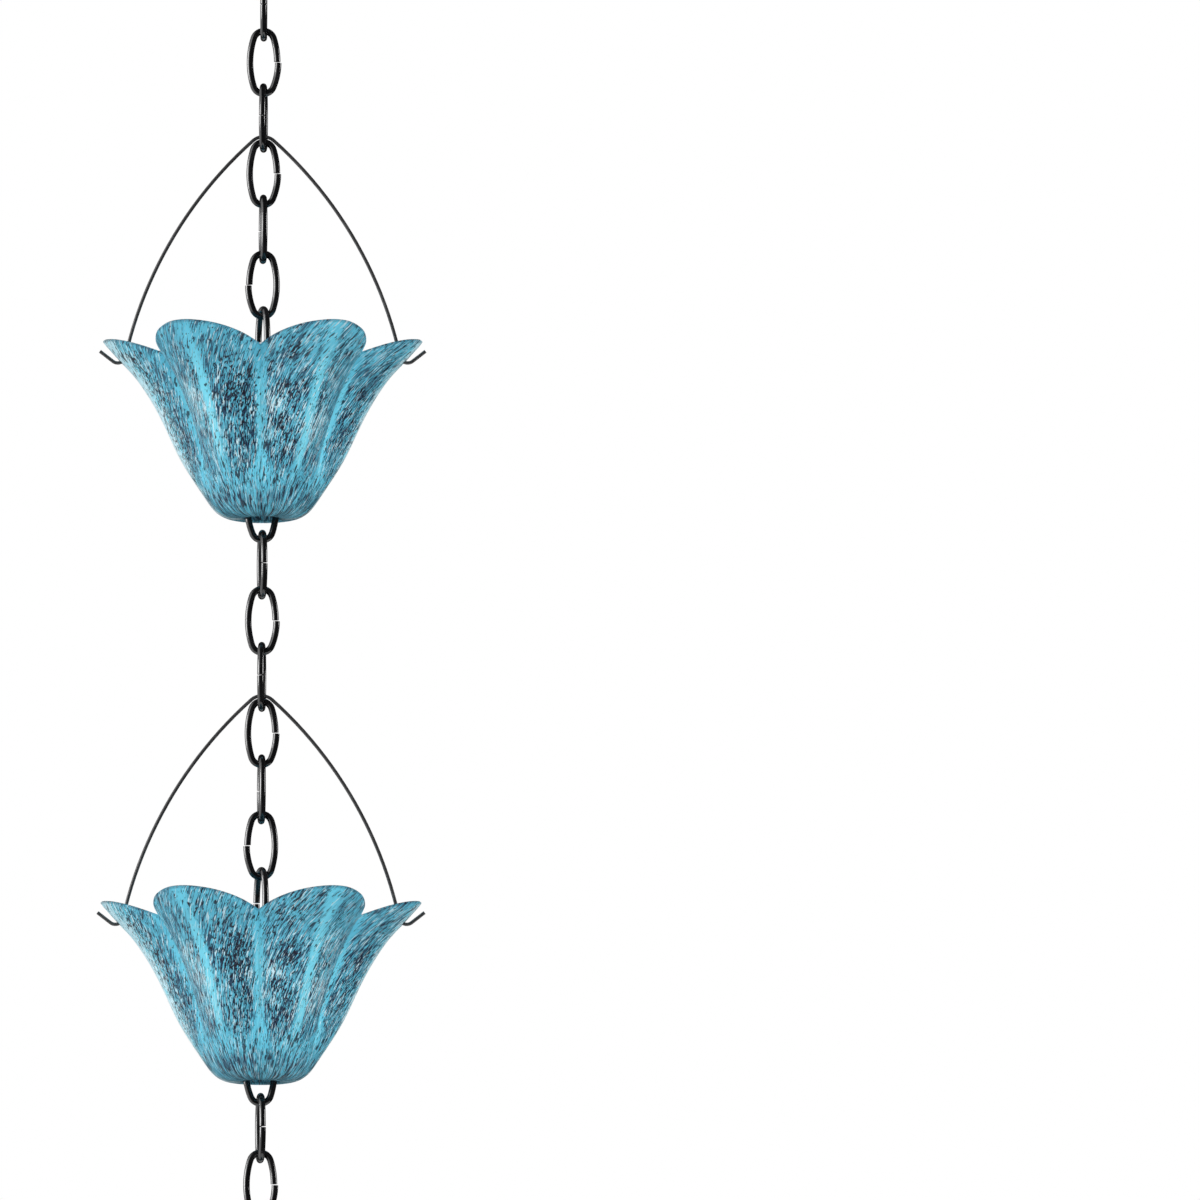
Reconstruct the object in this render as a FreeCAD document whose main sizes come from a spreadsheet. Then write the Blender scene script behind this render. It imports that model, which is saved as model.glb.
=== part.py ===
import FreeCAD, Part
import math
import os

import Sketcher
from FreeCAD import Placement, Rotation, Vector

# Rain chain: eight fluted metal cups on one run of oval wire links, with a cut glass drop at the end.
# Each cup hangs from its own wire bail, whose top rests on one link of the chain, and the chain runs on
# down through the cup and out of the hole in its bottom. The origin is the inner top of the first link,
# where the chain hangs, +Z is up and -Y is the front.

SIZES = {
    # the chain
    "cup_count": 8,
    "links_above_first_bail": 3,
    "links_per_cup": 10,
    "links_below_last_bail": 12,
    "link_wire": 3.4,
    "link_inner_length": 29.5,
    "link_outer_width": 17.5,
    "link_end_room": 2.0,
    "butt_gap": 0.7,
    "butt_offset": 0.5,
    "seat_gap": 0.3,
    # the bails
    "bail_wire": 1.8,
    "bail_drop": 118.5,
    "bail_crown_room": 1.0,
    "bail_arm_radius": 215.0,
    "bail_hook_radius": 4.0,
    "bail_tail_length": 8.5,
    "bail_tail_rise": 38.0,
    "bail_entry_dip": 36.0,
    # the cups
    "petal_count": 6,
    "cup_height": 92.5,
    "cup_tip_radius": 82.5,
    "cup_base_radius": 13.5,
    "cup_wall": 0.9,
    "petal_arch": 10.6,
    "crease_depth_ratio": 0.2,
    "crease_start": 5.0,
    "crease_full": 38.0,
    "panel_depth": 1.2,
    "panel_start": 16.0,
    "bail_hole_height": 81.5,
    "bail_hole_room": 0.75,
    "drain_room": 1.25,
    # the glass drop and its ring
    "ring_radius": 8.25,
    "ring_wire": 1.8,
    "ring_gap": 0.6,
    "drop_length": 62.0,
    "drop_width": 37.0,
    "drop_thickness": 18.0,
    "drop_tip_width": 6.5,
    "drop_girdle": 1.6,
    "drop_hole_radius": 1.7,
    "drop_hole_depth": 4.2,
    "drop_facets": 14,
}

doc = FreeCAD.newDocument("rain_chain")
sheet = doc.addObject("Spreadsheet::Sheet", "sizes")
for row, (name, value) in enumerate(SIZES.items(), 1):
    sheet.set(f"A{row}", name)
    sheet.set(f"B{row}", str(value))
    sheet.setAlias(f"B{row}", name)
doc.recompute()


def size(name):
    """One driving dimension, read from the sheet."""
    return float(sheet.get(name))


# Places down the chain, worked out from the link and the seat gap
PITCH = size("link_inner_length") - size("seat_gap")
LINK_HALF_LENGTH = size("link_inner_length") / 2 + size("link_wire")
CUP_COUNT = int(size("cup_count"))
PER_CUP = int(size("links_per_cup"))
FIRST_BAIL_LINK = int(size("links_above_first_bail")) + 1
LAST_LINK = FIRST_BAIL_LINK + (CUP_COUNT - 1) * PER_CUP + int(size("links_below_last_bail"))
LINK_Z = "-sizes.link_inner_length / 2 - {} * (sizes.link_inner_length - sizes.seat_gap)"


def link_z(number):
    """Height of the middle of a link, counted from 1 at the top."""
    return -size("link_inner_length") / 2 - (number - 1) * PITCH


def bail_link(cup):
    """Number of the link that carries the bail of a cup, counted from 1 at the top."""
    return FIRST_BAIL_LINK + (cup - 1) * PER_CUP


# Turn of each link about the chain, by its place below the link that carries a bail. Links are face on at 0
# and 180 and edge on at 90 and -90, with the butt joint right, left, behind or in front. Some hang askew.
LINK_TURNS = (0, 96, 180, 110, 0, 90, 180, -80, 0, -94)
HANGING_TURN = -90


def link_turn(number):
    """Turn of a link about the chain. The first one hangs square on the roof fitting."""
    if number == 1:
        return HANGING_TURN
    return LINK_TURNS[(number - FIRST_BAIL_LINK) % PER_CUP % len(LINK_TURNS)]


def link_placement(number):
    return Placement(Vector(0, 0, link_z(number)), Rotation(Vector(0, 0, 1), link_turn(number)))


def origin_plane(body, role):
    return next(plane for plane in body.Origin.OriginFeatures if plane.Role == role)


def sketch_on(body, name, role):
    sketch = body.newObject("Sketcher::SketchObject", name)
    sketch.AttachmentSupport = [(origin_plane(body, role), "")]
    sketch.MapMode = "FlatFace"
    return sketch


def dimension(sketch, kind, where, value, name, expression):
    """A sketch dimension that starts at its true value and is bound to the sheet."""
    index = sketch.addConstraint(Sketcher.Constraint(kind, *where, value))
    sketch.renameConstraint(index, name)
    sketch.setExpression(f"Constraints.{name}", expression)


def arc(centre, radius, start, end):
    """Sketch arc, anticlockwise between two angles in radians."""
    circle = Part.Circle(Vector(centre[0], centre[1], 0), Vector(0, 0, 1), radius)
    return Part.ArcOfCircle(circle, start, end)


def wire_section(body, name, role, radius_name, centre, offset=None):
    """Round wire section on one of the body's planes."""
    sketch = sketch_on(body, name, role)
    if offset:
        sketch.setExpression("AttachmentOffset.Base.z", offset)
    radius = size(radius_name) / 2
    circle = sketch.addGeometry(Part.Circle(Vector(centre[0], centre[1], 0), Vector(0, 0, 1), radius))
    dimension(sketch, "Radius", (circle,), radius, "wire_radius", f"sizes.{radius_name} / 2")
    return sketch


def pipe(body, name, section, path):
    wire = body.newObject("PartDesign::AdditivePipe", name)
    wire.Profile = section
    wire.Spine = (path, [""])
    return wire


# Oval link: bent from round wire, two end arcs and two bowed sides. In one side is a butt joint, whose lower
# end stands out a little past the upper one.
def link_body(label, number):
    half_length = (size("link_inner_length") + size("link_wire")) / 2
    half_width = (size("link_outer_width") - size("link_wire")) / 2
    end_radius = size("link_wire") + size("link_end_room")
    end_centre = half_length - end_radius

    def side_arc(reach):
        """Radius and centre of the arc of a side, and the angle where it meets the end arcs."""
        radius = (end_centre**2 + reach**2 - end_radius**2) / (2 * (reach - end_radius))
        return radius, radius - reach, math.atan2(end_centre, radius - reach)

    side_radius, side_centre, meet = side_arc(half_width)
    out_radius, out_centre, out_meet = side_arc(half_width + size("butt_offset"))
    half_gap, above_gap = size("butt_gap") / 2, "sizes.butt_gap / 2"
    gap_angle, out_gap_angle = (math.asin(half_gap / radius) for radius in (side_radius, out_radius))

    body = doc.addObject("PartDesign::Body", label)
    path = sketch_on(body, label + "_path", "XZ_Plane")
    top = path.addGeometry(arc((0, end_centre), end_radius, meet, math.pi - meet))
    left = path.addGeometry(arc((side_centre, 0), side_radius, math.pi - meet, math.pi + meet))
    bottom = path.addGeometry(arc((0, -end_centre), end_radius, math.pi + meet, 2 * math.pi - out_meet))
    upper = path.addGeometry(arc((-side_centre, 0), side_radius, gap_angle, meet))
    lower = path.addGeometry(arc((-out_centre, 0), out_radius, -out_meet, -out_gap_angle))
    path.addConstraint([
        Sketcher.Constraint("Tangent", upper, 2, top, 1),
        Sketcher.Constraint("Tangent", top, 2, left, 1),
        Sketcher.Constraint("Tangent", left, 2, bottom, 1),
        Sketcher.Constraint("Tangent", bottom, 2, lower, 1),
        Sketcher.Constraint("Equal", top, bottom),
        Sketcher.Constraint("Equal", left, upper),
        Sketcher.Constraint("PointOnObject", top, 3, -2),
        Sketcher.Constraint("PointOnObject", bottom, 3, -2),
        Sketcher.Constraint("PointOnObject", left, 3, -1),
        Sketcher.Constraint("PointOnObject", upper, 3, -1),
        Sketcher.Constraint("PointOnObject", lower, 3, -1),
    ])
    end = "(sizes.link_wire + sizes.link_end_room)"
    reach = f"((sizes.link_inner_length + sizes.link_wire) / 2 - {end})"
    half = "((sizes.link_outer_width - sizes.link_wire) / 2)"
    out = f"({half} + sizes.butt_offset)"
    side, out_side = (f"({reach}^2 + {far}^2 - {end}^2) / (2 * ({far} - {end}))" for far in (half, out))
    dimension(path, "Radius", (top,), end_radius, "end_radius", end)
    dimension(path, "DistanceY", (-1, 1, top, 3), end_centre, "end_centre", reach)
    dimension(path, "Radius", (left,), side_radius, "side_radius", side)
    dimension(path, "Radius", (lower,), out_radius, "out_radius", out_side)
    dimension(path, "DistanceY", (-1, 1, upper, 1), half_gap, "above_gap", above_gap)
    dimension(path, "DistanceY", (lower, 2, -1, 1), half_gap, "below_gap", above_gap)
    at_side = (half_width, 0)
    section = wire_section(body, label + "_section", "XY_Plane", "link_wire", at_side, above_gap)
    pipe(body, label + "_wire", section, path)
    body.Placement = link_placement(number)
    body.setExpression("Placement.Base.z", LINK_Z.format(number - 1))
    return body


# A stretch of chain: copies of one link, hooked through each other with the seat gap between them
def chain_stretch(label, pattern, first, last):
    links = []
    for number in range(first, last + 1):
        link = doc.addObject("App::Link", f"link_{number:02d}")
        link.LinkedObject = pattern
        link.LinkPlacement = link_placement(number)
        link.setExpression("LinkPlacement.Base.z", LINK_Z.format(number - 1))
        links.append(link)
    stretch = doc.addObject("Part::Compound", label)
    stretch.Links = links
    return stretch


# The cup's profile through the middle of a petal, from the foot to the tip, as shares of its radius and
# height
PROFILE_SHARES = ((0, 0), (0.235, 0.12), (0.41, 0.325), (0.578, 0.585), (0.75, 0.79), (1, 1))
FOOT_DIRECTION, TIP_DIRECTION = Vector(1, 0, 0), Vector(0.58, 0, 0.7)


def petal_profile():
    """Spline of the outer profile, x as the radius, flat where it meets the foot."""
    base, tip, height = size("cup_base_radius"), size("cup_tip_radius"), size("cup_height")
    points = [Vector(base + (tip - base) * out, 0, height * up) for out, up in PROFILE_SHARES]
    curve = Part.BSplineCurve()
    curve.interpolate(Points=points, InitialTangent=FOOT_DIRECTION, FinalTangent=TIP_DIRECTION)
    return curve


def smooth_step(low, high, value):
    share = min(max((value - low) / (high - low), 0.0), 1.0)
    return share * share * (3 - 2 * share)


NARROWEST_STEP = 1e-10


def at_height(curve, height):
    """Parameter where the profile reaches a height, by halving."""
    low, high = curve.FirstParameter, curve.LastParameter
    while high - low > NARROWEST_STEP:
        middle = (low + high) / 2
        if curve.value(middle).z < height:
            low = middle
        else:
            high = middle
    return (low + high) / 2


# Each half of a petal has a sunk panel between the mid-rib and the crease's margin. Its sides slope over the
# first and the last two of these shares of the half's width, and its lower end is round.
PANEL_EDGES = (0.05, 0.36, 0.55, 0.92)
PANEL_MIDDLE = 0.46
PANEL_END_ROUND, PANEL_END_SLOPE = 90.0, 14.0
PETAL_HALF_ANGLE = math.pi / size("petal_count")
COLUMNS, ROWS = 20, 26
NORMAL_STEP = 1e-4


def petal_point(curve, across, along):
    """Outer surface of a petal: across runs from -1 to 1 between creases, along is the profile's."""
    point = curve.value(along)
    fluted = smooth_step(size("crease_start"), size("crease_full"), point.z)
    radius = point.x * (1 - size("crease_depth_ratio") * fluted * across**2)
    side = abs(across)
    inner, full, begin, outer = PANEL_EDGES
    panel = smooth_step(inner, full, side) * (1 - smooth_step(begin, outer, side))
    low_end = size("panel_start") + PANEL_END_ROUND * (side - PANEL_MIDDLE) ** 2
    panel *= smooth_step(low_end, low_end + PANEL_END_SLOPE, point.z)
    radius -= size("panel_depth") * panel
    angle = across * PETAL_HALF_ANGLE
    return Vector(radius * math.cos(angle), radius * math.sin(angle), point.z)


def inward(curve, across, along):
    """Direction through the wall, from the outer to the inner surface."""
    if along <= curve.FirstParameter:
        return Vector(0, 0, 1)
    step_along = NORMAL_STEP * (curve.LastParameter - curve.FirstParameter)
    left = petal_point(curve, across - NORMAL_STEP, along)
    right = petal_point(curve, across + NORMAL_STEP, along)
    below = petal_point(curve, across, along - step_along)
    above = petal_point(curve, across, along + step_along)
    normal = (above - below).cross(right - left)
    normal.normalize()
    # towards a crease the direction turns into the crease's own plane, so that two petals meet there
    angle = across * PETAL_HALF_ANGLE
    sideways = Vector(-math.sin(angle), math.cos(angle), 0)
    normal -= sideways * (normal.dot(sideways) * across**4)
    return normal.normalize()


def cup_shape():
    """Pressed cup: petals with mid-ribs and sunk panels, a round foot, a drain hole and two bail holes."""
    curve = petal_profile()
    wall = size("cup_wall")
    outer_grid, inner_grid = [], []
    for column in range(COLUMNS + 1):
        across = -1 + 2 * column / COLUMNS
        rim = at_height(curve, size("cup_height") - size("petal_arch") * across**2)
        outer_row, inner_row = [], []
        for row in range(ROWS + 1):
            along = curve.FirstParameter + (rim - curve.FirstParameter) * row / ROWS
            point = petal_point(curve, across, along)
            outer_row.append(point)
            inner_row.append(point + inward(curve, across, along) * wall)
        outer_grid.append(outer_row)
        inner_grid.append(inner_row)
    faces = []
    for grid in (outer_grid, inner_grid):
        surface = Part.BSplineSurface()
        surface.interpolate(grid)
        faces.append(surface.toShape())
    outer, inner = faces
    rims = [max(face.Edges, key=lambda edge: edge.CenterOfMass.z) for face in faces]
    feet = [min(face.Edges, key=lambda edge: edge.CenterOfMass.z) for face in faces]
    strip = Part.makeRuledSurface(*rims)
    shell_faces, foot_edges = [], ([], [])
    for petal in range(int(size("petal_count"))):
        turn = Rotation(Vector(0, 0, 1), petal * 360 / size("petal_count"))
        for face in (outer, inner, strip):
            copy = face.copy()
            copy.Placement = Placement(Vector(), turn)
            shell_faces.append(copy)
        for edges, foot in zip(foot_edges, feet):
            copy = foot.copy()
            copy.Placement = Placement(Vector(), turn)
            edges.append(copy)
    for edges in foot_edges:
        shell_faces.append(Part.Face(Part.Wire(Part.sortEdges(edges)[0])))
    skin = Part.makeCompound(shell_faces)
    skin.sewShape()
    body = Part.Solid(skin.Shells[0])
    if body.Volume < 0:
        body.reverse()
    return body.cut(cup_holes(curve))


def bail_hole_axis(curve):
    """Middle of the wall at the bail hole, and the direction out through it."""
    along = at_height(curve, size("bail_hole_height"))
    through = inward(curve, 0, along)
    return petal_point(curve, 0, along) + through * (size("cup_wall") / 2), -through


def bail_hole_radius():
    return size("bail_wire") / 2 + size("bail_hole_room")


def cup_holes(curve):
    drain_radius = size("link_outer_width") / 2 + size("drain_room")
    wall = size("cup_wall")
    reach = 4 * wall
    tools = [Part.makeCylinder(drain_radius, 2 * reach, Vector(0, 0, -reach))]
    middle, outward = bail_hole_axis(curve)
    for side in (1, -1):
        centre = Vector(side * middle.x, 0, middle.z)
        direction = Vector(side * outward.x, 0, outward.z)
        tools.append(Part.makeCylinder(bail_hole_radius(), 2 * reach, centre - direction * reach, direction))
    return tools


# Bail: one wire bent to a pointed arch, hooked out through the two bail holes
def bail_layout():
    """Centres and angles of the bail's arcs, in its own plane with the crown's wire at the origin."""
    curve = petal_profile()
    middle, _ = bail_hole_axis(curve)
    dip = math.radians(size("bail_entry_dip"))
    crown_radius = 1.5 * size("link_wire") + size("link_end_room") + size("bail_crown_room")
    hook_radius, arm_radius = size("bail_hook_radius"), size("bail_arm_radius")
    hook = Vector(middle.x + hook_radius * math.sin(dip), hook_radius - size("bail_drop"), 0)
    crown = Vector(0, -crown_radius, 0)
    between = hook - crown
    near, far = arm_radius - crown_radius, arm_radius + hook_radius
    span = between.Length
    share = (near**2 - far**2 + span**2) / (2 * span)
    aside = math.sqrt(near**2 - share**2)
    direction = between / span
    arm = crown + direction * share + Vector(direction.y, -direction.x, 0) * aside
    return crown, crown_radius, arm, hook


def angle_of(vector):
    return math.atan2(vector.y, vector.x)


def opposite(point):
    """The same point on the other side of the bail."""
    return Vector(-point.x, point.y, 0)


def crown_z(cup):
    """Height of the bail's crown, whose wire rests on top of its link."""
    return link_z(bail_link(cup)) + LINK_HALF_LENGTH + size("seat_gap") + size("bail_wire") / 2


def bail_body(label, cup):
    crown, crown_radius, arm, hook = bail_layout()
    arm_radius, hook_radius = size("bail_arm_radius"), size("bail_hook_radius")
    leave, enter = angle_of(crown - arm), angle_of(hook - arm)
    rise = math.radians(size("bail_tail_rise"))
    hook_start, hook_end = enter + math.pi, 2 * math.pi + rise - math.pi / 2
    tail_start = hook + Vector(math.cos(hook_end), math.sin(hook_end), 0) * hook_radius
    tail_end = tail_start + Vector(math.cos(rise), math.sin(rise), 0) * size("bail_tail_length")

    body = doc.addObject("PartDesign::Body", label)
    path = sketch_on(body, label + "_path", "XZ_Plane")
    path.addGeometry(Part.LineSegment(opposite(tail_end), opposite(tail_start)))
    left_hook = path.addGeometry(arc(opposite(hook), hook_radius, math.pi - hook_end, math.pi - hook_start))
    left_arm = path.addGeometry(arc(opposite(arm), arm_radius, math.pi - leave, math.pi - enter))
    top = path.addGeometry(arc(crown, crown_radius, leave, math.pi - leave))
    right_arm = path.addGeometry(arc(arm, arm_radius, enter, leave))
    right_hook = path.addGeometry(arc(hook, hook_radius, hook_start, hook_end))
    path.addGeometry(Part.LineSegment(tail_start, tail_end))
    path.addConstraint([
        Sketcher.Constraint("PointOnObject", top, 3, -2),
        Sketcher.Constraint("Equal", left_hook, right_hook),
        Sketcher.Constraint("Equal", left_arm, right_arm),
    ])
    dimension(path, "Radius", (right_hook,), hook_radius, "hook_radius", "sizes.bail_hook_radius")
    dimension(path, "Radius", (right_arm,), arm_radius, "arm_radius", "sizes.bail_arm_radius")
    section = wire_section(body, label + "_section", "YZ_Plane", "bail_wire", (0, 0))
    pipe(body, label + "_wire", section, path)
    body.Placement = Placement(Vector(0, 0, crown_z(cup)), Rotation())
    return body


def cup_z(cup):
    """Height of a cup's foot: the top edge of its bail holes rests on the bail's wire."""
    dip = math.radians(size("bail_entry_dip"))
    wire_z = crown_z(cup) - size("bail_drop") + size("bail_hook_radius") * (1 - math.cos(dip))
    middle, _ = bail_hole_axis(petal_profile())
    hole_z = wire_z - (bail_hole_radius() - size("bail_wire") / 2 - size("seat_gap"))
    return hole_z - middle.z


# Glass drop: a pear outline cut in facets, which rise in tiers from a thin girdle to a small table
PEAR_WIDEST = 0.7698
TIERS = ((1.0, 0.0), (0.66, 0.62), (0.34, 1.0))
CUT_CENTRE = 0.62


def drop_tier(tier, side):
    """Corners of one tier of the cut, round from the tip, each tier half a step round from the one before."""
    scale, lift = TIERS[tier]
    count, girdle = int(size("drop_facets")), size("drop_girdle")
    lifted = side * (girdle + (size("drop_thickness") - girdle) * lift) / 2
    corners = []
    for index in range(count):
        angle = 2 * math.pi * (index + (0.5 if tier % 2 == 0 else 0.0)) / count
        share = (1 - math.cos(angle)) / 2
        pear = 2 * share * math.sqrt(1 - share) / PEAR_WIDEST
        half_width = (size("drop_width") * pear + size("drop_tip_width") * (1 - share) ** 3) / 2
        mirrored = round(math.sin(angle), 6)
        across = math.copysign(half_width, mirrored) * scale if mirrored else 0.0
        down = CUT_CENTRE + (share - CUT_CENTRE) * scale
        corners.append(Vector(across, lifted, -size("drop_length") * down))
    return corners


def facet(*corners):
    return Part.Face(Part.makePolygon([*corners, corners[0]]))


def drop_shape():
    """Cut glass pear with its tip at the origin, and a hole from front to back below the tip."""
    count = int(size("drop_facets"))
    facets = []
    for side in (1, -1):
        girdle, shoulder, table = (drop_tier(tier, side) for tier in range(3))
        facets.append(facet(*table))
        for index in range(count):
            onward = (index + 1) % count
            facets.append(facet(girdle[index], shoulder[index], shoulder[onward]))
            facets.append(facet(girdle[index], girdle[onward], shoulder[onward]))
            facets.append(facet(shoulder[onward], table[index], table[onward]))
            facets.append(facet(shoulder[index], shoulder[onward], table[index]))
    front, back = drop_tier(0, 1), drop_tier(0, -1)
    for index in range(count):
        onward = (index + 1) % count
        facets.append(facet(front[index], front[onward], back[onward], back[index]))
    skin = Part.makeCompound(facets)
    skin.sewShape()
    glass = Part.Solid(skin.Shells[0])
    if glass.Volume < 0:
        glass.reverse()
    thickness = size("drop_thickness")
    start = Vector(0, -thickness, -size("drop_hole_depth"))
    return glass.cut(Part.makeCylinder(size("drop_hole_radius"), 2 * thickness, start, Vector(0, 1, 0)))


def glass_at_hole():
    """Thickness of the glass round the hole, on the slope from the girdle to the shoulder."""
    scale, lift = TIERS[1]
    share = size("drop_hole_depth") / size("drop_length") / (CUT_CENTRE * (1 - scale))
    return size("drop_girdle") + (size("drop_thickness") - size("drop_girdle")) * lift * share


# Split ring: joins the last link to the glass drop, in the side plane
LAST_SEAT_Z = link_z(LAST_LINK) - size("link_inner_length") / 2 + size("seat_gap")
RING_Z = LAST_SEAT_Z + size("ring_wire") / 2 - size("ring_radius")


def ring_object():
    ring = doc.addObject("Part::Torus", "drop_ring")
    ring.setExpression("Radius1", "sizes.ring_radius")
    ring.setExpression("Radius2", "sizes.ring_wire / 2")
    ring.setExpression("Angle3", "360 - sizes.ring_gap / sizes.ring_radius * 180 / pi")
    to_side = Rotation(Vector(0, 1, 0), 90).multiply(Rotation(Vector(0, 0, 1), 90))
    ring.Placement = Placement(Vector(0, 0, RING_Z), to_side)
    return ring


def drop_z():
    """Height of the drop's tip: the top of its hole rests on the ring, which curves up to both faces."""
    radius, half = size("ring_radius"), glass_at_hole() / 2
    ring_rise = radius - math.sqrt(radius**2 - half**2)
    hole_top = RING_Z - radius + size("ring_wire") / 2 + ring_rise + size("seat_gap")
    return hole_top - size("drop_hole_radius") + size("drop_hole_depth")


def shaped(label, shape, height):
    """A sub-part whose shape is worked out above, hung at its height."""
    piece = doc.addObject("Part::Feature", label)
    piece.Shape = shape
    piece.Placement = Placement(Vector(0, 0, height), Rotation())
    return piece


hanging_link = link_body("hanging_link", 1)
pieces = [hanging_link, chain_stretch("chain_top", hanging_link, 2, FIRST_BAIL_LINK - 1)]
pressed_cup = cup_shape()
for cup in range(1, CUP_COUNT + 1):
    carrier = bail_link(cup)
    below_cup = carrier + math.ceil((link_z(carrier) - cup_z(cup)) / PITCH)
    end = LAST_LINK if cup == CUP_COUNT else bail_link(cup + 1) - 1
    pieces += [
        link_body(f"bail_link_{cup}", carrier),
        bail_body(f"bail_{cup}", cup),
        shaped(f"cup_{cup}", pressed_cup, cup_z(cup)),
        chain_stretch(f"chain_in_cup_{cup}", hanging_link, carrier + 1, below_cup - 1),
        chain_stretch(f"chain_below_cup_{cup}", hanging_link, below_cup, end),
    ]
pieces += [ring_object(), shaped("crystal_drop", drop_shape(), drop_z())]
doc.recompute()

for thing in doc.Objects:
    if "Invalid" in thing.State or "Error" in thing.State:
        raise RuntimeError(f"{thing.Label} failed: {thing.State}")
os.makedirs("parts", exist_ok=True)
for piece in pieces:
    if piece.Shape.isNull() or not piece.Shape.isValid():
        raise RuntimeError(f"{piece.Label} has no valid shape")
for piece in pieces:
    piece.Shape.exportStep(f"parts/{piece.Label}.step")
    box, solids = piece.Shape.BoundBox, len(piece.Shape.Solids)
    print(f"{piece.Label}: {solids} solids, {piece.Shape.Volume:.0f} mm3, z {box.ZMin:.1f} to {box.ZMax:.1f}")
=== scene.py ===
# %% [markdown]
# # A rain chain in Blender
#
# A rain chain hangs from a gutter in place of a downspout. Water runs down its links and from cup to cup.
# This one has eight fluted cups of pressed sheet, brushed in turquoise over a dark ground, on a run of black
# wire links, with a cut glass drop at its lower end. The first cell loads the solid model as a fixed frame.
# All that follows dresses it.

# %% Load the frame
import math

import bpy
import numpy as np
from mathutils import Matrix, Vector


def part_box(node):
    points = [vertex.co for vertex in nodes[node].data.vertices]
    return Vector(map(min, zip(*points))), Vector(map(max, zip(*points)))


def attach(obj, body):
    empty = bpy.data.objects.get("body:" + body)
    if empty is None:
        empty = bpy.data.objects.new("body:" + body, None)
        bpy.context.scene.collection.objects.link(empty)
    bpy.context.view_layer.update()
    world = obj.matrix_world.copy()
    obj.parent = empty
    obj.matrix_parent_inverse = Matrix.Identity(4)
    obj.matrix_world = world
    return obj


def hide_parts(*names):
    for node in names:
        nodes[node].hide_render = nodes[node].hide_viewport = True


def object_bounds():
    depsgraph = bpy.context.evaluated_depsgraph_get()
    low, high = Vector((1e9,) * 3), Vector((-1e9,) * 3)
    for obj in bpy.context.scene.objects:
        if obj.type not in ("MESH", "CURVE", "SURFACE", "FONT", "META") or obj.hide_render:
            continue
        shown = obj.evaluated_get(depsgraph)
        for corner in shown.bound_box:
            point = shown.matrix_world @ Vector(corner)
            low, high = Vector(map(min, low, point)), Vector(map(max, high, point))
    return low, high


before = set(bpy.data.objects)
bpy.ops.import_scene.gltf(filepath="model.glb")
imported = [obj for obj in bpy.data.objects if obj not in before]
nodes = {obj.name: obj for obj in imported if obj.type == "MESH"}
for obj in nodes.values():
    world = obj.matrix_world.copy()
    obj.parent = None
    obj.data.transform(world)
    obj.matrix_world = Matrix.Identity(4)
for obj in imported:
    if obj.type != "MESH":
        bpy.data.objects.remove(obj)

cad_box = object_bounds()
CUPS = [name for name in sorted(nodes) if name.startswith("cup_")]
GLASS = "crystal_drop"
WIRES = [name for name in sorted(nodes) if name not in CUPS and name != GLASS]
MM = 0.001
print(len(CUPS), "cups,", len(WIRES), "wire nodes, box", [list(corner) for corner in cad_box])

# %% [markdown]
# ## Camera
#
# The photograph's close-up was taken with a long lens from a little below the first cups. So the camera
# stands eight metres away, looks eight degrees upwards, and its lens is so long that one pixel is about half
# a millimetre at the chain. The chain is left of the middle, as it is in the photograph. That one scale turns
# pixels into metres, which is easier to check than a lens found by trial.

# %% Camera
PHOTO_SIDE = 1200
PIXEL = 0.5155 * MM
CAMERA_DISTANCE = 8.0
LOOKING_UP = math.radians(8)
CHAIN_AT_PIXEL = 262
BAIL_LINK_AT_PIXEL = 172
SENSOR = 36
CLIP_END = 100

link_low, link_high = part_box("bail_link_1")
bail_link_z = (link_low.z + link_high.z) / 2
right_of_chain = (PHOTO_SIDE / 2 - CHAIN_AT_PIXEL) * PIXEL
below_link = (PHOTO_SIDE / 2 - BAIL_LINK_AT_PIXEL) * PIXEL / math.cos(LOOKING_UP)
target = Vector((right_of_chain, 0, bail_link_z - below_link))
gaze = Vector((0, math.cos(LOOKING_UP), math.sin(LOOKING_UP)))

bpy.ops.object.camera_add(location=target - gaze * CAMERA_DISTANCE)
camera = bpy.context.object
camera.rotation_euler = gaze.to_track_quat("-Z", "Y").to_euler()
camera.data.sensor_width = SENSOR
camera.data.lens = SENSOR * CAMERA_DISTANCE / (PHOTO_SIDE * PIXEL)
camera.data.clip_end = CLIP_END
bpy.context.scene.camera = camera
bpy.context.scene.view_settings.view_transform = "Standard"
print("lens", round(camera.data.lens), "mm, target", [round(value, 4) for value in target])

# %% [markdown]
# ## Helpers for materials
#
# Every finish here is a small net of shader nodes. One helper adds a node, sets it up and feeds its inputs,
# from a number or from another node. The others are the steps that most nets share. They keep each recipe
# short enough to read, and the white world at the end is made with them too.

# %% Material helpers
def net_helpers(tree):
    """Two helpers for a net: one adds a node, the other feeds a socket."""

    def feed(socket, value):
        if isinstance(value, bpy.types.NodeSocket):
            tree.links.new(value, socket)
        else:
            socket.default_value = value

    def add(kind, inputs=(), output=0, **settings):
        """Adds a node, feeds its inputs by name or number, and returns one of its outputs."""
        node = tree.nodes.new("ShaderNode" + kind)
        for setting, value in settings.items():
            setattr(node, setting, value)
        for key, value in dict(inputs).items():
            feed(node.inputs[key], value)
        return node.outputs[output]

    return add, feed


def new_material(name):
    """A material with its Principled shader, and the two helpers for its net."""
    material = bpy.data.materials.new(name)
    material.use_nodes = True
    tree = material.node_tree
    return material, tree.nodes["Principled BSDF"], *net_helpers(tree)


def blend_colours(add, share, under, over):
    """Lays one colour over another by a share from 0 to 1."""
    return add("Mix", {0: share, 6: under, 7: over}, output=2, data_type="RGBA")


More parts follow.
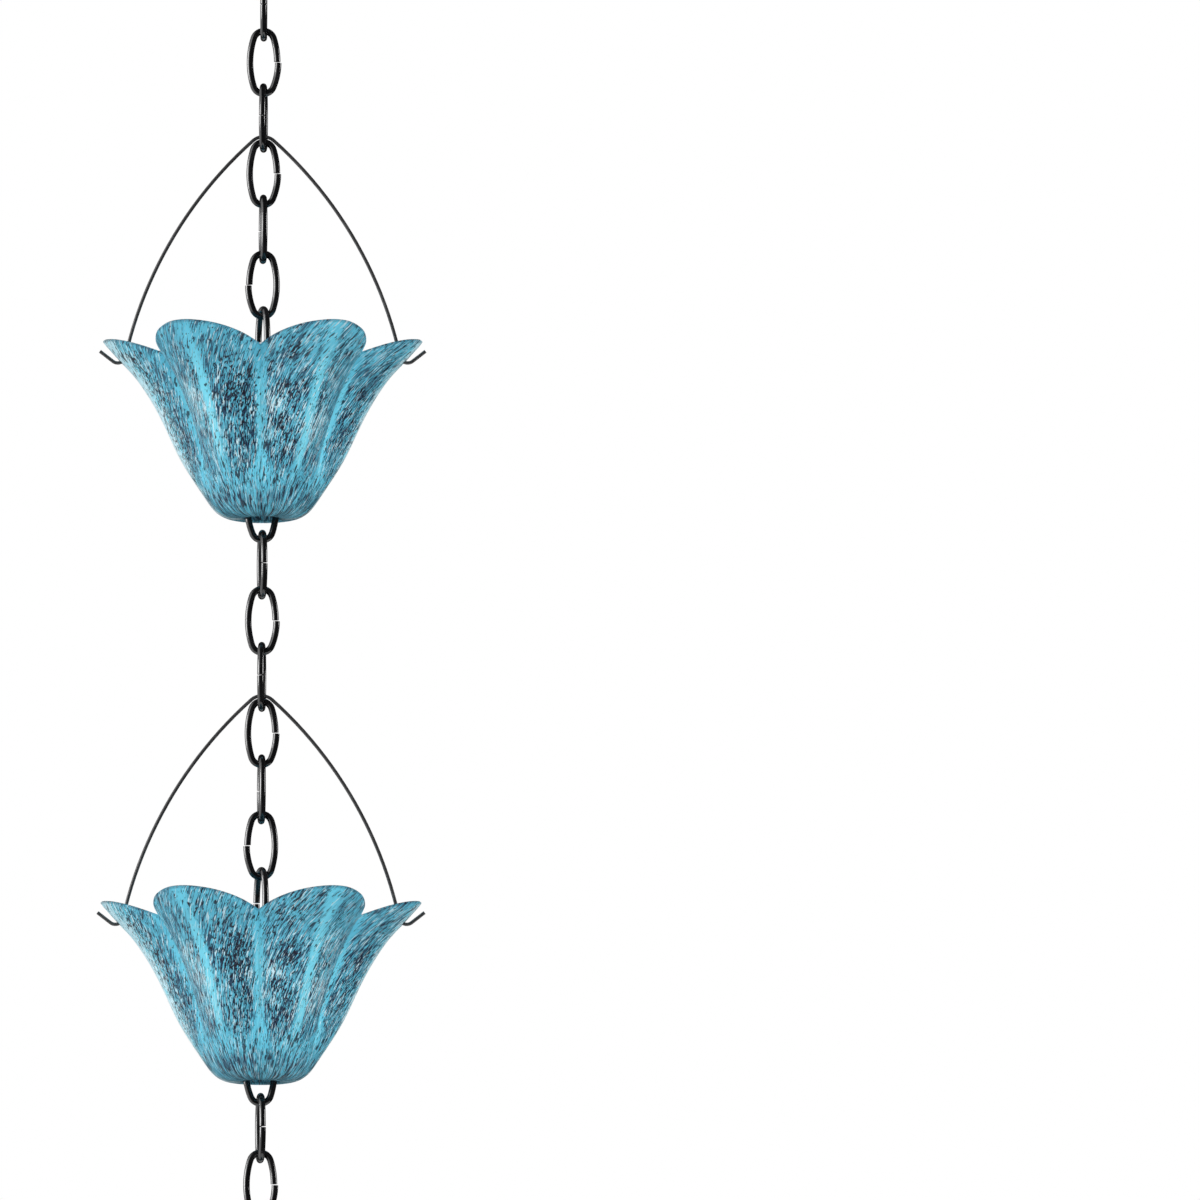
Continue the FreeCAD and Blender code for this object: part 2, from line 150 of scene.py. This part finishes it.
def between(add, value, low, high, to_low=0.0, to_high=1.0):
    """A smooth step of a value from low to high."""
    ends = {"From Min": low, "From Max": high, "To Min": to_low, "To Max": to_high}
    return add("MapRange", {"Value": value, **ends}, interpolation_type="SMOOTHSTEP")


def calculate(add, operation, first, second):
    return add("Math", {0: first, 1: second}, operation=operation)


def multiply_add(add, value, factor, extra):
    """A value times a factor, plus an extra."""
    return add("Math", {0: value, 1: factor, 2: extra}, operation="MULTIPLY_ADD")


def assign(piece, material):
    piece.data.materials.clear()
    piece.data.materials.append(material)


# %% [markdown]
# ## Black wire
#
# Links and the small ring are round steel wire in gloss black paint. Paint on bent wire is never quite even.
# It is thinner and a little greyer where the links rub, and has fine dust in it. So a slow noise varies
# colour and gloss, and a fine one gives a very slight bump, all on Object coordinates. The thin bails get a
# greyer black, which is painted sheen, and less gloss, from the same recipe.

# %% Black wire finish
BLACK, RUBBED_GREY = (0.002, 0.002, 0.0025, 1), (0.007, 0.007, 0.008, 1)
# the bails' greyer black is painted sheen
BAIL_SHEEN_BLACK, BAIL_SHEEN_GREY = (0.026, 0.026, 0.027, 1), (0.05, 0.05, 0.052, 1)
SPRAYED_ROUGH, BAIL_ROUGH = (0.1, 0.16), (0.22, 0.34)
SLOW_WAVES, PAINT_GRAIN = 90, 400
RUBBED_WAVES, ROUGH_WAVES = (0.5, 0.75), (0.3, 0.8)
GRAIN_STRENGTH, GRAIN_DEPTH = 0.12, 0.01 * MM
WIRE_PAINT_IOR = 1.9


def wire_finish(name, colour, rubbed_colour, rough):
    material, shader, add, feed = new_material(name)
    place = add("TexCoord", output="Object")
    slow = add("TexNoise", {"Vector": place, "Scale": SLOW_WAVES, "Detail": 3})
    grain = add("TexNoise", {"Vector": place, "Scale": PAINT_GRAIN, "Detail": 2})
    rubbed = between(add, slow, *RUBBED_WAVES)
    feed(shader.inputs["Base Color"], blend_colours(add, rubbed, colour, rubbed_colour))
    feed(shader.inputs["Roughness"], between(add, slow, *ROUGH_WAVES, *rough))
    bump = add("Bump", {"Strength": GRAIN_STRENGTH, "Distance": GRAIN_DEPTH, "Height": grain})
    feed(shader.inputs["Normal"], bump)
    shader.inputs["IOR"].default_value = WIRE_PAINT_IOR
    return material


gloss_black = wire_finish("gloss_black_wire", BLACK, RUBBED_GREY, SPRAYED_ROUGH)
# painted sheen: the bails get a greyer black, and they are less glossy
dipped_black = wire_finish("dipped_black_bail", BAIL_SHEEN_BLACK, BAIL_SHEEN_GREY, BAIL_ROUGH)
bails = [name for name in WIRES if name.startswith("bail_") and "link" not in name]
for name in WIRES:
    assign(nodes[name], dipped_black if name in bails else gloss_black)
print(gloss_black.name, "on", len(WIRES) - len(bails), "nodes,", dipped_black.name, "on", len(bails))

# %% [markdown]
# ## Cups
#
# A cup's form comes from its solid, so its mesh is a copy, with the corners of its loose triangles merged and
# smooth shading. What the solid can't hold is where the brush went, and some painted light and shade.
# The copy therefore gets attributes, one value for each point: how far round and up the cup it is, how deep
# in one of the petal's sunk panels, how near to a clean rib or crease, how near to a dark or a pale dab of
# the sponge, and how close to the rim. The dark value also holds painted shade beside the ribs.
# Attributes follow the form on every cup alike, which a pattern in plain space wouldn't do. The strokes lean
# more and more towards the rim. The pale value has a painted highlight on both side ribs, the left one more.

# %% Where a point lies on its cup
PETALS = 6
PETAL_ANGLE = 2 * math.pi / PETALS
CUP_HEIGHT, PETAL_ARCH = 92.5, 10.6
PANEL_INNER, PANEL_OUTER = (0.07, 0.12), (0.87, 0.93)
PANEL_MIDDLE, PANEL_START = 0.46, 12
PANEL_END_ROUND, PANEL_END_SLOPE = 60, 10


def smooth_step(low, high, value):
    share = np.clip((value - low) / (high - low), 0, 1)
    return share * share * (3 - 2 * share)


def panel_share(across, height):
    """How deep each point lies in a sunk panel, from 0 to 1. A petal has two, round at their lower ends."""
    side = np.abs(across)
    low_end = PANEL_START + PANEL_END_ROUND * (side - PANEL_MIDDLE) ** 2
    inside = smooth_step(*PANEL_INNER, side) * (1 - smooth_step(*PANEL_OUTER, side))
    return inside * smooth_step(low_end, low_end + PANEL_END_SLOPE, height)


# %% Dabs of the sponge
# angle from the front crease in degrees, height in mm, reach in mm, strength
DARK_DABS = (
    (-14, 58, 7, 1.3), (-8, 66, 5, 0.8), (-17, 71, 6, 0.7), (-10, 45, 7, 0.6), (-12, 36, 6, 0.6),
    (-15, 25, 5, 0.7), (15, 80, 6, 0.9), (17, 60, 6, 1.2), (6, 72, 5, 0.7), (12, 46, 4, 0.9),
    (18, 38, 6, 0.8), (15, 28, 5, 0.8), (34, 16, 5, 0.6), (13, 14, 5, 0.6), (-34, 76, 8, 0.5),
    (-36, 66, 6, 0.45), (39, 78, 7, 0.7), (36, 57, 6, 0.55), (-76, 80, 8, 0.9), (-75, 66, 7, 0.8),
    (-76, 52, 7, 0.8), (-75, 38, 8, 0.7), (-74, 26, 7, 0.5), (76, 78, 7, 0.7), (75, 64, 7, 0.8),
    (76, 50, 7, 0.7), (75, 38, 7, 0.6),
)
PALE_DABS = (
    (-42, 60, 7, 0.9), (-35, 48, 8, 0.8), (-30, 34, 7, 0.5), (8, 54, 6, 0.8), (7, 38, 6, 0.6),
    (37, 68, 6, 0.6), (38, 46, 8, 0.8), (34, 34, 6, 0.5), (-4, 50, 3, 0.4),
)


def dabbed(dabs, angle, height, radius):
    """Sum of soft round dabs at each point. The back of the cup has the front's dabs, mirrored."""
    total = np.zeros_like(height)
    for dab_angle, dab_height, reach, strength in dabs:
        aside = np.radians(angle - dab_angle) * radius
        distance = np.hypot(aside, height - dab_height) / reach
        total += strength * np.exp(-distance * distance)
    return total


print(len(DARK_DABS), "dark and", len(PALE_DABS), "pale dabs")


# %% Copy each cup's mesh and give it its attributes
MERGE_DISTANCE = 0.002 * MM
SHARP_ANGLE = math.radians(50)
STROKE_LEAN = 0.43
NEW_STROKES = 3.7
BRUSHED_OUT, BRUSHED_LEAST = (0.75, 1.0), 0.75
DARKEST, PALEST = 0.95, 1.1
# painted highlight on the side ribs: its width left and right in degrees, and its strength
LEFT_HIGHLIGHT_WIDTH, RIGHT_HIGHLIGHT_WIDTH, HIGHLIGHT_PALE = 10, 4.5, 3.0
CREASE_MARGIN, RIB_MARGIN, MARGIN_CLEAN = (0.9, 0.97), (0.09, 0.04), 0.5
MARGIN_START, MARGIN_END = (0.1, 0.3), (0.75, 0.95)
# the first is the strength of the painted shade in the corners beside the ribs
CORNER_SHADE, DAB_ON_RIB = 0.25, 0.25


def give(piece, label, values, kind="FLOAT"):
    """Writes one value, or one vector, for each point of a piece."""
    field = "vector" if kind == "FLOAT_VECTOR" else "value"
    attribute = piece.data.attributes.new(label, kind, "POINT")
    attribute.data.foreach_set(field, np.ascontiguousarray(values, dtype=np.float32).ravel())


def painted_cup(name, number):
    node = nodes[name]
    piece = bpy.data.objects.new(f"painted_{name}", node.data.copy())
    bpy.context.collection.objects.link(piece)
    bpy.ops.object.select_all(action="DESELECT")
    piece.select_set(True)
    bpy.context.view_layer.objects.active = piece
    bpy.ops.object.mode_set(mode="EDIT")
    bpy.ops.mesh.select_all(action="SELECT")
    bpy.ops.mesh.remove_doubles(threshold=MERGE_DISTANCE)
    bpy.ops.object.mode_set(mode="OBJECT")
    bpy.ops.object.shade_smooth_by_angle(angle=SHARP_ANGLE)

    places = np.empty(len(piece.data.vertices) * 3, dtype=np.float32)
    piece.data.vertices.foreach_get("co", places)
    x, y, z = places.reshape(-1, 3).T.astype(float)
    height, radius = (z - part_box(name)[0].z) / MM, np.hypot(x, y) / MM
    turn = np.arctan2(y, x)
    petal = turn / PETAL_ANGLE
    across = 2 * (petal - np.round(petal))
    panel = panel_share(across, height)
    angle = np.degrees(np.arctan2(x, np.abs(y)))
    up = height / CUP_HEIGHT
    lean = turn - STROKE_LEAN * up**2
    rim = height / (CUP_HEIGHT - PETAL_ARCH * across**2)
    stroke = np.stack([np.cos(lean), np.sin(lean), up + NEW_STROKES * number], axis=1)
    give(piece, "stroke", stroke, "FLOAT_VECTOR")
    # painted highlight: the ribs at the sides are painted pale, the left one more
    from_side_rib = (90 - np.abs(angle)) / np.where(x < 0, LEFT_HIGHLIGHT_WIDTH, RIGHT_HIGHLIGHT_WIDTH)
    wear_and_highlight = np.exp(-from_side_rib * from_side_rib)
    panel *= (1 - wear_and_highlight) * (1 - (1 - BRUSHED_LEAST) * smooth_step(*BRUSHED_OUT, rim))
    give(piece, "panel", panel)
    dark = np.minimum(dabbed(DARK_DABS, angle, height, radius), DARKEST)
    dark *= DAB_ON_RIB + (1 - DAB_ON_RIB) * panel
    # painted shade: a dark line in the corner beside each rib
    give(piece, "dark", dark + CORNER_SHADE * 4 * panel * (1 - panel))
    margin = smooth_step(*CREASE_MARGIN, np.abs(across)) + smooth_step(*RIB_MARGIN, np.abs(across))
    margin *= MARGIN_CLEAN * smooth_step(*MARGIN_START, up) * (1 - smooth_step(*MARGIN_END, rim))
    give(piece, "margin", margin)
    pale = np.minimum(dabbed(PALE_DABS, angle, height, radius), PALEST)
    # the pale value holds the pale dabs and the painted highlight on the side ribs
    give(piece, "pale", pale + HIGHLIGHT_PALE * wear_and_highlight)
    give(piece, "rim", rim)
    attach(piece, "root")
    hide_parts(name)
    return piece


painted_cups = [painted_cup(name, number) for number, name in enumerate(CUPS, 1)]
for piece in painted_cups:
    print(piece.name, len(piece.data.vertices), "points,", len(piece.data.polygons), "triangles")

# %% [markdown]
# ## Cup paint
#
# The cups are painted dark, then brushed with turquoise from the foot up, so that the dark ground shows
# between the strokes, most of all in the sunk panels that the brush passes over. Noise that is stretched
# along the cup's height and wound round it gives the strokes, one layer of it dark and one pale. Noise that
# is wound round a cup grows with it, so a finer one takes over near the wide rim and a coarser one adds ticks
# at the narrow foot. The ribs and the margins of the creases keep fresh turquoise. The dabs break into fine
# speckle, as sponge marks do. The strokes also raise the surface a little, so they catch the light. The paint
# is satin, and its clear top shows as a pale sheen at the sides.

# %% Noise for the brush
# each noise: how fine it is round the cup and up the cup, its shift and its detail
WAVE, BROAD, PATCHES = (5, 3, 11, 2), (9, 2.5, 3, 3), (14, 7, 41, 2)
FINE_DARK, FINER_DARK, FINE_PALE = (88, 18, 7, 1), (118, 17, 7, 1), (95, 16, 19, 1)
SPECKLE, FOOT_TICKS = (88, 50, 29, 1.5), (34, 20, 53, 1)
NOISE_ROUGHNESS = 0.6
# each layer: the noise that it shows from, how far its mask lowers that, and how soft its edge is
GROUND_SHOWS, PALE_SHOWS = (0.61, 0.13, 0.05), (0.64, 0.12, 0.05)
SPECKLE_SHOWS, TICKS_SHOW = (0.65, 0.15, 0.03), (0.65, 0.16, 0.03)


def wound_noise(add, stroke, around, along, shift, detail):
    """Noise wound round the cup: around is its fineness round the cup, along its fineness up the cup."""
    winding = {"Location": (shift, shift, 0), "Scale": (around, around, along)}
    place = add("Mapping", {"Vector": stroke, **winding})
    return add("TexNoise", {"Vector": place, "Scale": 1, "Detail": detail, "Roughness": NOISE_ROUGHNESS})


def over(add, noise, mask, start, fall, softness):
    """Where the noise is over a threshold, which starts at a value and falls as the mask grows."""
    low = multiply_add(add, mask, -fall, start)
    return between(add, noise, low, calculate(add, "ADD", low, softness))


# %% Colours and zones of the cup paint
TURQUOISE, DEEP_TURQUOISE = (0.15, 0.64, 0.84, 1), (0.1, 0.48, 0.66, 1)
FRESH_TURQUOISE = (0.22, 0.72, 0.87, 1)
NAVY, INK = (0.01, 0.012, 0.055, 1), (0.005, 0.001, 0.012, 1)
PALE_BLUE, SHADED = (0.62, 0.85, 0.93, 1), (0.09, 0.41, 0.57, 1)
# zones by height, from 0 at the foot to 1 at the rim
FOOT_ZONE, UPPER_ZONE, FINER_ZONE = (0.35, 0.05), (0.6, 0.85), (0.62, 0.72)
RING_START, RING_END, BARE_EDGE = (0.045, 0.08), (0.14, 0.09), (0.985, 0.995)
# zones by noise
BROAD_ZONE, PATCH_ZONE, TICK_ZONE = (0.35, 0.62), (0.35, 0.65), (0.35, 0.6)
# how strongly a layer lies at the low and the high end of its zone
GROUND_IN_PATCHES, TICKS_IN_PATCHES = (0.6, 1.25), (0.5, 1.1)
GROUND_IN_PANELS, PALE_COVER, PANEL_SPECKLE = (0.4, 0.3), (0.95, 0.8), (0.26, 0.05)
# how strongly a layer lies where it is the same all over
FOOT_BRUSHED, PANEL_SHADE, FOOT_SHADE = 0.8, 0.6, 0.3
PALE_FRESH, MARGIN_FRESH, GROUND_ON_RIBS, BRUSH_LOAD = 0.6, 0.6, 0.5, 0.4
SPECKLE_COVER, TICK_COVER, SMEAR_COVER, EDGE_COVER = 0.95, 0.85, 0.55, 0.3
# the surface
WAVE_HEIGHT, PANEL_RELIEF = 0.03, 1.5
BUMP_STRENGTH, BUMP_DEPTH = 0.6, 0.25 * MM
SATIN_ZONE, SATIN_ROUGH = (0.3, 0.7), (0.38, 0.55)
SATIN_SPECULAR, COAT_WEIGHT, COAT_ROUGHNESS = 0.25, 0.12, 0.12


# %% Cup paint finish
def cup_paint_finish():
    material, shader, add, feed = new_material("brushed_turquoise")
    stroke = add("Attribute", output="Vector", attribute_name="stroke")
    masks = ("panel", "dark", "pale", "rim", "margin")
    panel, dark, pale, rim, margin = (add("Attribute", output="Fac", attribute_name=name) for name in masks)
    # a slow wave keeps the strokes from running dead straight
    wave = wound_noise(add, stroke, *WAVE)
    bend = add("VectorMath", {0: wave, "Scale": WAVE_HEIGHT}, operation="SCALE")
    wavy = add("VectorMath", {0: stroke, 1: bend}, operation="ADD")
    broad = wound_noise(add, wavy, *BROAD)
    patches = wound_noise(add, wavy, *PATCHES)
    fine_pale = wound_noise(add, wavy, *FINE_PALE)
    # the cup is wide at its rim, so finer noise keeps the strokes as narrow there
    lower, upper = wound_noise(add, wavy, *FINE_DARK), wound_noise(add, wavy, *FINER_DARK)
    at_rim = between(add, rim, *FINER_ZONE)
    fine_dark = add("Mix", {0: at_rim, 2: lower, 3: upper}, data_type="FLOAT")

    colour = blend_colours(add, between(add, broad, *BROAD_ZONE), DEEP_TURQUOISE, TURQUOISE)
    foot = between(add, rim, *FOOT_ZONE, 0.0, FOOT_BRUSHED)
    panel_shade = calculate(add, "MULTIPLY", panel, PANEL_SHADE)
    shade = calculate(add, "MAXIMUM", panel_shade, calculate(add, "MULTIPLY", foot, FOOT_SHADE))
    colour = blend_colours(add, shade, colour, SHADED)
    # fresh turquoise on the margins and pale dabs, and on the painted highlight of the side ribs
    colour = blend_colours(add, multiply_add(add, pale, PALE_FRESH, margin), colour, FRESH_TURQUOISE)
    # dark ground between the strokes, most in the panels and there in patches
    brushed = calculate(add, "MAXIMUM", panel, foot)
    wear_and_highlight = calculate(add, "MULTIPLY", brushed, between(add, patches, *PATCH_ZONE, *GROUND_IN_PATCHES))
    wear_and_highlight = multiply_add(add, margin, -MARGIN_FRESH, wear_and_highlight)
    thickness = multiply_add(add, brushed, between(add, rim, *UPPER_ZONE, *GROUND_IN_PANELS), GROUND_ON_RIBS)
    ground = calculate(add, "MULTIPLY", over(add, fine_dark, wear_and_highlight, *GROUND_SHOWS), thickness)
    colour = blend_colours(add, ground, colour, NAVY)
    # pale strokes, and pale dabs where the brush was loaded, also on the painted highlight of the side ribs
    loaded = multiply_add(add, brushed, BRUSH_LOAD, pale)
    cover = between(add, rim, *UPPER_ZONE, *PALE_COVER)
    light = calculate(add, "MULTIPLY", over(add, fine_pale, loaded, *PALE_SHOWS), cover)
    colour = blend_colours(add, light, colour, PALE_BLUE)
    # dark dabs and painted shade beside the ribs, broken into speckle, and faint speckle over the panels
    dabs = multiply_add(add, panel, between(add, rim, *UPPER_ZONE, *PANEL_SPECKLE), dark)
    spots = over(add, wound_noise(add, wavy, *SPECKLE), dabs, *SPECKLE_SHOWS)
    colour = blend_colours(add, calculate(add, "MULTIPLY", spots, SPECKLE_COVER), colour, INK)
    # the cup is narrow at its foot, so coarser noise gives strokes of the same width there
    footed = calculate(add, "MULTIPLY", foot, between(add, patches, *TICK_ZONE, *TICKS_IN_PATCHES))
    ticks = over(add, wound_noise(add, wavy, *FOOT_TICKS), footed, *TICKS_SHOW)
    colour = blend_colours(add, calculate(add, "MULTIPLY", ticks, TICK_COVER), colour, INK)
    # the smeared ring just above the foot, and the bare edge of the rim
    ring = calculate(add, "MULTIPLY", between(add, rim, *RING_START), between(add, rim, *RING_END))
    smear = calculate(add, "MULTIPLY", ring, between(add, patches, *PATCH_ZONE, 0.0, SMEAR_COVER))
    bare = calculate(add, "MAXIMUM", smear, between(add, rim, *BARE_EDGE, 0.0, EDGE_COVER))
    feed(shader.inputs["Base Color"], blend_colours(add, bare, colour, NAVY))

    relief = calculate(add, "SUBTRACT", calculate(add, "ADD", fine_pale, light), ground)
    relief = multiply_add(add, panel, -PANEL_RELIEF, relief)
    bump = add("Bump", {"Strength": BUMP_STRENGTH, "Distance": BUMP_DEPTH, "Height": relief})
    feed(shader.inputs["Normal"], bump)
    feed(shader.inputs["Roughness"], between(add, broad, *SATIN_ZONE, *SATIN_ROUGH))
    shader.inputs["Specular IOR Level"].default_value = SATIN_SPECULAR
    shader.inputs["Coat Weight"].default_value = COAT_WEIGHT
    shader.inputs["Coat Roughness"].default_value = COAT_ROUGHNESS
    return material


cup_paint = cup_paint_finish()
for piece in painted_cups:
    assign(piece, cup_paint)
print(cup_paint.name, "with", len(cup_paint.node_tree.nodes), "nodes")

# %% [markdown]
# ## Glass drop
#
# The drop is cut from yellow glass. It is deeper in colour towards its tip and sides, where one looks
# through more glass, and palest in the middle. That change is painted with a gradient on Object coordinates,
# centred on the drop, in which the drop's thickness counts little. The facets stay flat-shaded, because their
# sharp edges are what makes cut glass sparkle.

# %% Amber glass finish
HONEY, AMBER = (1.0, 0.8, 0.1, 1), (0.8, 0.34, 0.02, 1)
THICKNESS_COUNTS, WAVES_COUNT = 0.25, 0.3
GLASS_WAVES, DEEP_ZONE = 3, (0.5, 1.1)
GLASS_ZONE, GLASS_ROUGH = (0.3, 0.7), (0.0, 0.05)
GLASS_IOR = 1.52


def amber_glass_finish():
    material, shader, add, feed = new_material("amber_glass")
    low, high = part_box(GLASS)
    centre, half = (low + high) / 2, (high - low) / 2
    size = (1 / half.x, THICKNESS_COUNTS / half.y, 1 / half.z)
    shift = tuple(-value * scale for value, scale in zip(centre, size))
    place = add("TexCoord", output="Object")
    place = add("Mapping", {"Vector": place, "Location": shift, "Scale": size})
    edge = add("VectorMath", {0: place}, output="Value", operation="LENGTH")
    waves = add("TexNoise", {"Vector": place, "Scale": GLASS_WAVES, "Detail": 2})
    depth = between(add, multiply_add(add, waves, WAVES_COUNT, edge), *DEEP_ZONE)
    feed(shader.inputs["Base Color"], blend_colours(add, depth, HONEY, AMBER))
    shader.inputs["Transmission Weight"].default_value = 1
    shader.inputs["IOR"].default_value = GLASS_IOR
    feed(shader.inputs["Roughness"], between(add, waves, *GLASS_ZONE, *GLASS_ROUGH))
    return material


assign(nodes[GLASS], amber_glass_finish())
print("amber glass on", GLASS)

# %% [markdown]
# ## Floor, lamps and world
#
# The chain hangs in front of plain white. The world is white where the camera or a look through the glass
# meets it. In a reflection it is dark but for its left end, so that the wires stay black with a pale edge. As
# a light it is dimmer, so that the lamps can still model the folds. Wide suns stand for large soft boxes,
# because a sun lights all eight cups alike, which a box near a 2.6 m chain wouldn't do. The widest is a fill
# from the front that nothing mirrors. The other three shine from the sides and give the wires and the cups
# their pale edges. The floor lies just under the drop and fades into the white further out.

# %% Floor
FLOOR_CLEARANCE, FLOOR_RADIUS, FLOOR_SIDES = 0.03, 2.8, 96
FADE_START, FADE_END = 0.9, 2.6
WHITE = (1, 1, 1, 1)
FLOOR_GREY, FLOOR_PALE = (0.86, 0.86, 0.855, 1), (0.9, 0.9, 0.895, 1)
FLOOR_GRAIN, GRAIN_ZONE, FLOOR_ROUGHNESS = 30, (0.3, 0.7), 0.9

floor_z = cad_box[0].z - FLOOR_CLEARANCE
bpy.ops.mesh.primitive_circle_add(vertices=FLOOR_SIDES, radius=FLOOR_RADIUS, fill_type="NGON")
floor = bpy.context.object
floor.name = "floor"
for vertex in floor.data.vertices:
    vertex.co.z = floor_z


def floor_finish():
    material, shader, add, feed = new_material("pale_floor")
    place = add("TexCoord", output="Object")
    level = add("VectorMath", {0: place, 1: (1, 1, 0)}, operation="MULTIPLY")
    away = add("VectorMath", {0: level}, output="Value", operation="LENGTH")
    seen = add("LightPath", output="Is Camera Ray")
    share = calculate(add, "MULTIPLY", between(add, away, FADE_START, FADE_END), seen)
    white = add("Emission", {"Color": WHITE, "Strength": 1.0})
    mixed = add("MixShader", {0: share, 1: shader.outputs[0], 2: white})
    feed(material.node_tree.nodes["Material Output"].inputs["Surface"], mixed)
    grain = add("TexNoise", {"Vector": place, "Scale": FLOOR_GRAIN, "Detail": 4})
    colour = blend_colours(add, between(add, grain, *GRAIN_ZONE), FLOOR_GREY, FLOOR_PALE)
    feed(shader.inputs["Base Color"], colour)
    shader.inputs["Roughness"].default_value = FLOOR_ROUGHNESS
    return material


assign(floor, floor_finish())
print("floor at", round(floor_z, 3), "m")

# %% Lamps
def wide_sun(name, direction, strength, width, mirrored=True):
    """A sun that shines along a direction, as wide in the sky as an angle in degrees."""
    bpy.ops.object.light_add(type="SUN")
    lamp = bpy.context.object
    lamp.name = name
    lamp.rotation_euler = Vector(direction).to_track_quat("-Z", "Y").to_euler()
    lamp.data.energy = strength
    lamp.data.angle = math.radians(width)
    lamp.visible_glossy = mirrored
    return lamp


lamps = [
    wide_sun("front_fill", (-0.25, 0.88, -0.35), 1.6, 60, mirrored=False),
    wide_sun("left_front_box", (0.75, 0.6, -0.35), 0.2, 30),
    wide_sun("left_rim_box", (1.0, 0.15, -0.15), 1.3, 24),
    wide_sun("right_rim_box", (-1.0, -0.1, -0.2), 0.5, 16),
]
print([lamp.name for lamp in lamps])

# %% White world
SKY_LIGHT, DARK_SKY = 0.55, 0.03
LEFT_END = (-0.4, -0.85)

world = bpy.data.worlds.new("white_studio")
bpy.context.scene.world = world
world.use_nodes = True
background = world.node_tree.nodes["Background"]
background.inputs["Color"].default_value = WHITE
add, feed = net_helpers(world.node_tree)

rays = add("LightPath").node.outputs
sideways = add("SeparateXYZ", {0: add("TexCoord", output="Generated")}, output="X")
reflected = between(add, sideways, *LEFT_END, DARK_SKY, 1.0)
plain = calculate(add, "MAXIMUM", rays["Is Camera Ray"], rays["Is Transmission Ray"])
mirrored = calculate(add, "MULTIPLY", rays["Is Glossy Ray"], reflected)
shown = calculate(add, "MAXIMUM", plain, mirrored)
direct = calculate(add, "MAXIMUM", plain, rays["Is Glossy Ray"])
scattered = calculate(add, "SUBTRACT", 1.0, direct)
feed(background.inputs["Strength"], multiply_add(add, scattered, SKY_LIGHT, shown))
print("the sky lights at", SKY_LIGHT, "with", len(world.node_tree.nodes), "nodes")
